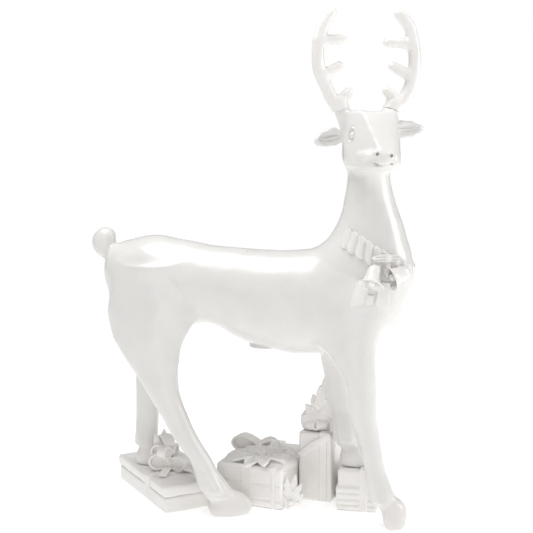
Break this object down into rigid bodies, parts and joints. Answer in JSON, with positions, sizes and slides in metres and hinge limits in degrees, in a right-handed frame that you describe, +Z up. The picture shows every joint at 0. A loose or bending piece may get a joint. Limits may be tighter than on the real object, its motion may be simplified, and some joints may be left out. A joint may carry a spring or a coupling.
{
  "type": "light up yard reindeer",
  "caption": "Free-standing hollow white reindeer lawn statue lit from inside, with ribbon collar, bells and a base of wrapped gifts.",
  "frame": {"origin": "on the flat underside, on the ground plane, below the middle of the body", "axes": "+X from tail to chest, +Y to the deer's left, +Z up"},
  "size_m": [0.8134, 0.3946, 1.221],
  "materials": {
    "shell_white": "glossy translucent white moulded resin, hand-smoothed, slightly warm",
    "antler_white": "glossy white moulded resin with faint grooves",
    "hoof_white": "glossy white moulded resin",
    "trim_white": "glossy white moulded resin ribbon and bells",
    "gift_white": "glossy white moulded resin, slightly duller in the folds",
    "plate_white": "plain white sheet",
    "hatch_white": "satin white",
    "socket_white": "satin white",
    "steel": "grey zinc paint",
    "zinc": "zinc plated",
    "lamp_holder": "white heat-resistant plastic",
    "bulb_cap": "nickel plated",
    "bulb_glass": "frosted",
    "seal_rubber": "black rubber",
    "lead_sheath": "white flexible sheath",
    "gland": "light grey nylon"
  },
  "bodies": {
    "statue": {"antler_sockets": "socket_white", "armature_leg_rods": "steel", "armature_nuts": "zinc", "base_bar": "steel", "base_hatch_ring": "hatch_white", "base_plates": "plate_white", "base_screws": "zinc", "bell_clappers": "trim_white", "bell_left": "trim_white", "bell_right": "trim_white", "belly_hatch_ring": "hatch_white", "belly_hatch_seal": "seal_rubber", "bow_tails": "trim_white", "bulb_caps": "bulb_cap", "bulb_globes": "bulb_glass", "cable_gland": "gland", "collar_bow": "trim_white", "collar_ruffle": "trim_white", "ear_left": "shell_white", "ear_right": "shell_white", "front_leg_left": "shell_white", "front_leg_right": "shell_white", "gift_low_bow": "gift_white", "gift_low_box": "gift_white", "gift_low_lid": "gift_white", "gift_low_ribbon": "gift_white", "gift_middle_box": "gift_white", "gift_middle_flower": "gift_white", "gift_middle_ribbon": "gift_white", "gift_small_box": "gift_white", "gift_small_ribbon": "gift_white", "gift_tall_bow": "gift_white", "gift_tall_box": "gift_white", "gift_tall_leaves": "gift_white", "gift_tall_ribbon": "gift_white", "gland_cap": "gland", "gland_nut": "gland", "head_shell": "shell_white", "hind_leg_left": "shell_white", "hind_leg_right": "shell_white", "holly_sprig": "gift_white", "hoof_front_left": "hoof_white", "hoof_front_right": "hoof_white", "hoof_hind_left": "hoof_white", "hoof_hind_right": "hoof_white", "lamp_brackets": "steel", "lamp_holders": "lamp_holder", "lead_to_base_lamp": "lead_sheath", "lead_to_belly_lamp": "lead_sheath", "neck_shell": "shell_white", "neck_tube": "steel", "spine_frame": "steel", "tail": "shell_white", "terminal_block": "lamp_holder", "torso_shell_left": "shell_white", "torso_shell_right": "shell_white"},
    "antler_left": {"antler_left": "antler_white"},
    "antler_right": {"antler_right": "antler_white"},
    "base_hatch_cover": {"base_hatch_cover": "hatch_white"},
    "belly_hatch_cover": {"belly_hatch_cover": "hatch_white"}
  },
  "joints": [
    {"name": "antler_right_lift", "type": "slide", "parent": "statue", "child": "antler_right", "axis": [-0.2823, -0.1257, 0.9511], "range_m": [0, 0.045]},
    {"name": "antler_left_lift", "type": "slide", "parent": "statue", "child": "antler_left", "axis": [0.2823, 0.1257, 0.9511], "range_m": [0, 0.045]},
    {"name": "belly_hatch_turn", "type": "hinge", "parent": "statue", "child": "belly_hatch_cover", "pos_m": [0, 0, 0.411], "axis": [0, 0, 1], "range_deg": [0, 40]},
    {"name": "base_hatch_turn", "type": "hinge", "parent": "statue", "child": "base_hatch_cover", "pos_m": [0.03542, 0.22015, 0.053], "axis": [-0.1908, -0.9816, 0], "range_deg": [0, 40]}
  ]
}
